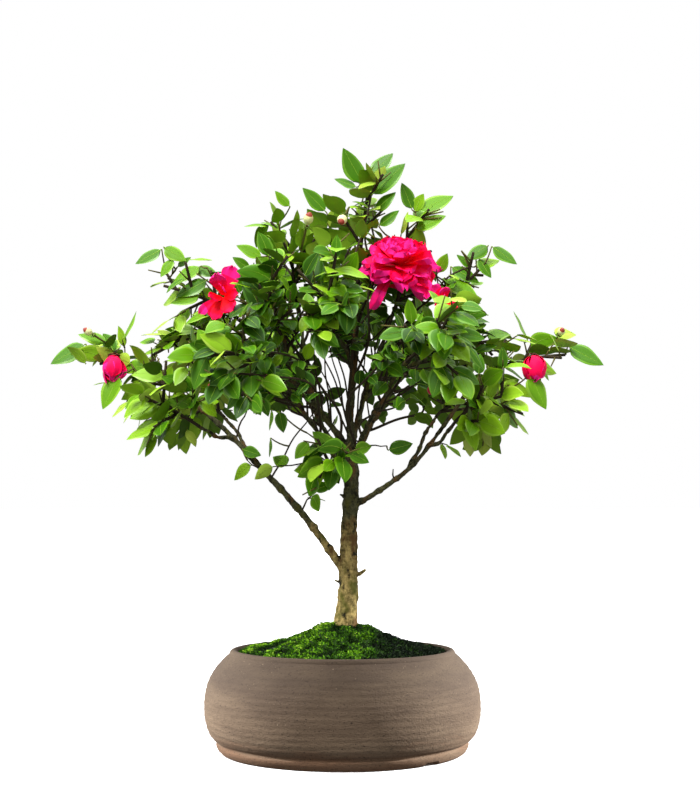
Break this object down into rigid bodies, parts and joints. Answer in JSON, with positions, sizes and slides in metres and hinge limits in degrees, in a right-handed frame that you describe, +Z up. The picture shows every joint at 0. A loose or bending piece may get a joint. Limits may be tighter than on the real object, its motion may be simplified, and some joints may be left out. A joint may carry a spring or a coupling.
{
  "type": "flowering camellia bonsai in a pot",
  "caption": "Flowering camellia bonsai: slim upright trunk, spreading leafy head with open pink-red flowers, mossed soil, round stoneware bowl pot on a low foot.",
  "frame": {"origin": "centre of the pot's flat underside, on the ground", "axes": "+Z up along the pot's turning axis, the viewing front faces -Y, +X to the viewer's right"},
  "size_m": [0.5018, 0.3585, 0.544],
  "materials": {
    "stoneware": "matte unglazed",
    "soil": "rough",
    "moss": "rough",
    "bark": "rough",
    "leaf": "satin",
    "petal": "matte"
  },
  "bodies": {
    "root": {"bough_centre_left": "bark", "bough_front_left": "bark", "bough_front_mid": "bark", "bough_front_right": "bark", "bough_inner": "bark", "bough_left_low": "bark", "bough_left_mid": "bark", "bough_left_rear": "bark", "bough_left_skirt": "bark", "bough_left_upper": "bark", "bough_rear_left": "bark", "bough_rear_mid": "bark", "bough_rear_right": "bark", "bough_right_high": "bark", "bough_right_low": "bark", "bough_right_mid": "bark", "bough_right_rear": "bark", "bough_right_skirt": "bark", "bough_right_upper": "bark", "bough_top": "bark", "bough_upper_left": "bark", "bough_upper_rear": "bark", "flower_large": "petal", "flower_left": "petal", "flower_left_tip": "petal", "flower_rear_left": "petal", "flower_rear_top": "petal", "flower_right": "petal", "flower_right_tip": "petal", "leaves_centre_left": "leaf", "leaves_front_left": "leaf", "leaves_front_mid": "leaf", "leaves_front_right": "leaf", "leaves_inner": "leaf", "leaves_left_low": "leaf", "leaves_left_mid": "leaf", "leaves_left_rear": "leaf", "leaves_left_skirt": "leaf", "leaves_left_upper": "leaf", "leaves_rear_left": "leaf", "leaves_rear_mid": "leaf", "leaves_rear_right": "leaf", "leaves_right_high": "leaf", "leaves_right_low": "leaf", "leaves_right_mid": "leaf", "leaves_right_rear": "leaf", "leaves_right_skirt": "leaf", "leaves_right_upper": "leaf", "leaves_top": "leaf", "leaves_upper_left": "leaf", "leaves_upper_rear": "leaf", "moss": "moss", "pot": "stoneware", "soil": "soil", "trunk": "bark"}
  },
  "joints": []
}
